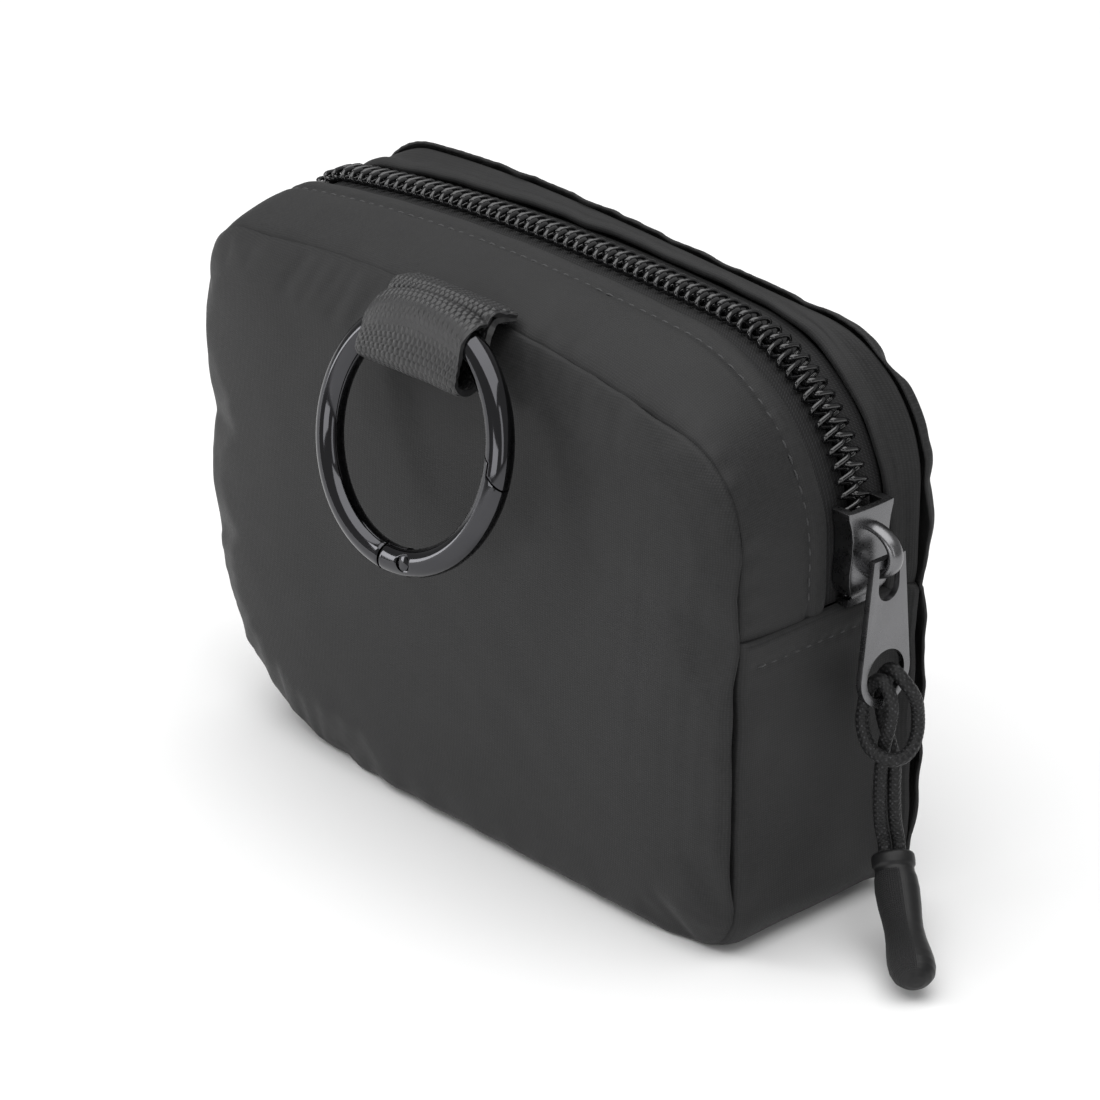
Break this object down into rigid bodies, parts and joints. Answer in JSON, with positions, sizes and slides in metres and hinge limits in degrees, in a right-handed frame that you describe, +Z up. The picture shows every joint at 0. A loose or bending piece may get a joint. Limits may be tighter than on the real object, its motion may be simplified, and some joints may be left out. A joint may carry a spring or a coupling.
{
  "type": "hanging toiletry bag",
  "caption": "Small zipped nylon pouch with a rounded boxy shape, a webbing loop holding a spring-gate ring, and a zip slider with a corded moulded pull.",
  "frame": {"origin": "middle of the base, on the surface the bag stands on", "axes": "+X along the width, towards the side where the closed slider hangs; -Y out of the front panel, which carries the loop and ring; +Z up"},
  "size_m": [0.1701, 0.0647, 0.1071],
  "materials": {
    "shell_nylon": "matt fine weave, soft sheen",
    "lining": "matt",
    "foam": "open-cell foam",
    "binding": "ribbed tape",
    "zip_tape": "ribbed tape",
    "zip_coil": "glossy nylon coil",
    "gunmetal": "satin gunmetal plating",
    "black_nickel": "polished black nickel",
    "spring_steel": "bright wire",
    "webbing": "coarse nylon webbing",
    "cord": "braided polyester",
    "soft_rubber": "matt, dotted grip"
  },
  "bodies": {
    "bag": {"front_panel": "shell_nylon", "back_panel": "shell_nylon", "lower_gusset": "shell_nylon", "zip_strip_front": "shell_nylon", "zip_strip_back": "shell_nylon", "front_foam": "foam", "back_foam": "foam", "front_lining": "lining", "back_lining": "lining", "gusset_lining": "lining", "seam_binding_front": "binding", "seam_binding_back": "binding", "zip_tape_front": "zip_tape", "zip_tape_back": "zip_tape", "zip_coil_front": "zip_coil", "zip_coil_back": "zip_coil", "zip_stop_right": "gunmetal", "zip_stop_left": "gunmetal"},
    "slider": {"slider_body": "gunmetal"},
    "tab": {"pull_tab": "gunmetal"},
    "pull": {"pull_cord": "cord", "pull_end": "soft_rubber"},
    "loop": {"webbing_loop": "webbing"},
    "ring": {"ring_body": "black_nickel", "gate_rivet": "black_nickel"},
    "gate": {"ring_gate": "black_nickel", "gate_spring": "spring_steel"}
  },
  "joints": [
    {"name": "slider_run", "type": "hinge", "parent": "bag", "child": "slider", "pos_m": [0.0345, 0.0073, 0.0695], "axis": [0, -1, 0], "range_deg": [0, 80]},
    {"name": "tab_flip", "type": "hinge", "parent": "slider", "child": "tab", "pos_m": [0.0742, 0.0073, 0.0691], "axis": [0, -1, 0], "range_deg": [0, 160]},
    {"name": "pull_swing", "type": "hinge", "parent": "tab", "child": "pull", "pos_m": [0.0742, 0.0073, 0.0432], "axis": [0, 1, 0], "range_deg": [-35, 9]},
    {"name": "loop_flap", "type": "hinge", "parent": "bag", "child": "loop", "pos_m": [0, -0.0211, 0.1016], "axis": [-1, 0, 0], "range_deg": [-12, 110]},
    {"name": "ring_turn", "type": "hinge", "parent": "loop", "child": "ring", "pos_m": [0.0017, -0.033, 0.0799], "axis": [0, 0.9677, -0.2521], "continuous": true},
    {"name": "gate_open", "type": "hinge", "parent": "ring", "child": "gate", "pos_m": [0.0072, -0.03817, 0.06004], "axis": [0, 0.9677, -0.2521], "range_deg": [-28, 0], "stiffness_Nm_per_rad": 0.02, "springref_deg": 17.19}
  ]
}
